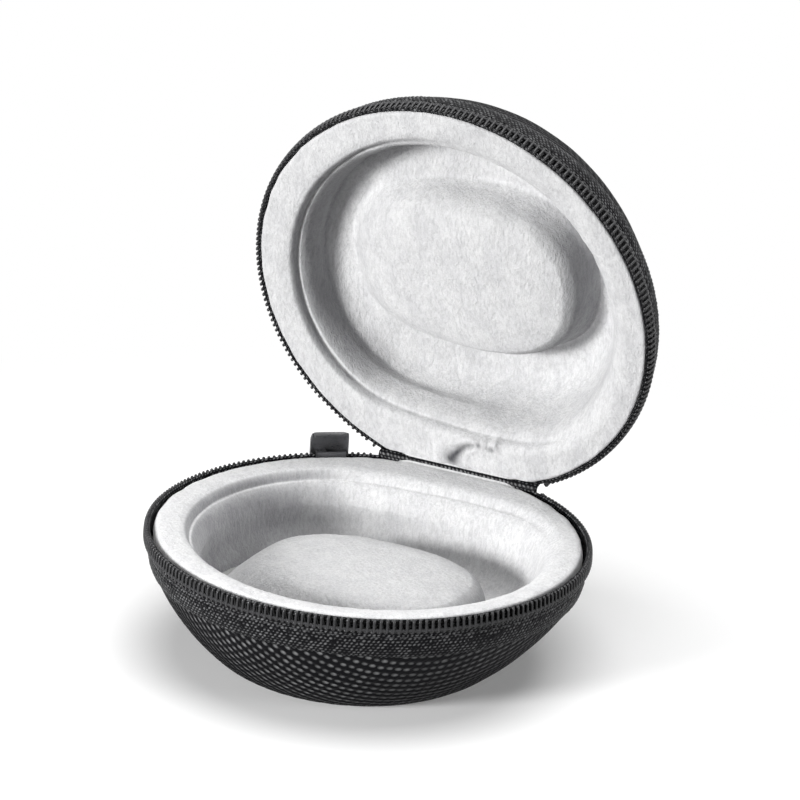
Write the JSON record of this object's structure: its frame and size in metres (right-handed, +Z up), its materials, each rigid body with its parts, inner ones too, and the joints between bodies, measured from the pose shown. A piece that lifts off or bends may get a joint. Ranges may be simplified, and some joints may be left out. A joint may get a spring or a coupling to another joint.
{
  "type": "watch travel case",
  "caption": "Round zip-up hard case for one wrist watch: two moulded bowls with a soft lined recess and a raised oval, a fabric hinge, a coil zip with a slider and a hanging pull.",
  "frame": {"origin": "on the floor, straight under the middle of the base's rim circle, in the plane of the flat bottom face", "axes": "+Z up, +Y towards the hinge, +X to the right when seen from the front"},
  "size_m": [0.1094, 0.127, 0.1316],
  "materials": {
    "cover_weave": "coarse satin woven nylon with small staggered cells",
    "shell_foam": "pressed closed-cell foam",
    "insert_foam": "moulded closed-cell foam",
    "dense_pad": "dense foam rubber",
    "light_pad": "light foam",
    "velvet": "short brushed velvet",
    "tape_weave": "fine matt woven tape",
    "coil_nylon": "glossy nylon monofilament",
    "cord_yarn": "tight knitted cord",
    "thread": "bonded sewing thread",
    "stop_plastic": "melted nylon",
    "slider_metal": "satin black plated zinc",
    "pull_metal": "satin black plated zinc"
  },
  "bodies": {
    "base": {"base_cover": "cover_weave", "base_shell": "shell_foam", "base_insert": "insert_foam", "base_boss_core": "dense_pad", "base_lining": "velvet", "base_zip_tape": "tape_weave", "base_zip_coil": "coil_nylon", "base_coil_cord": "cord_yarn", "base_tape_stitching": "thread", "base_zip_stops": "stop_plastic", "base_hinge_strip": "tape_weave", "base_hinge_lining": "velvet", "base_hinge_stitching": "thread"},
    "lid": {"lid_cover": "cover_weave", "lid_shell": "shell_foam", "lid_insert": "insert_foam", "lid_boss_core": "light_pad", "lid_lining": "velvet", "lid_zip_tape": "tape_weave", "lid_zip_coil": "coil_nylon", "lid_coil_cord": "cord_yarn", "lid_tape_stitching": "thread", "lid_zip_stops": "stop_plastic", "lid_hinge_strip": "tape_weave", "lid_hinge_lining": "velvet", "lid_hinge_stitching": "thread"},
    "slider": {"slider_body": "slider_metal", "slider_bridge": "slider_metal"},
    "pull": {"pull_tab": "pull_metal"}
  },
  "joints": [
    {"name": "lid_hinge", "type": "hinge", "parent": "base", "child": "lid", "pos_m": [0, 0.0493, 0.0306], "axis": [-1, 0, 0], "range_deg": [-74.5, 105.5]},
    {"name": "slider_travel", "type": "hinge", "parent": "base", "child": "slider", "pos_m": [0, 0, 0.0306], "axis": [0, 0, 1], "range_deg": [0, 284]},
    {"name": "pull_swing", "type": "hinge", "parent": "slider", "child": "pull", "pos_m": [-0.03549, 0.04543, 0.0306], "axis": [0.788, 0.6157, 0], "range_deg": [-12, 110]}
  ]
}
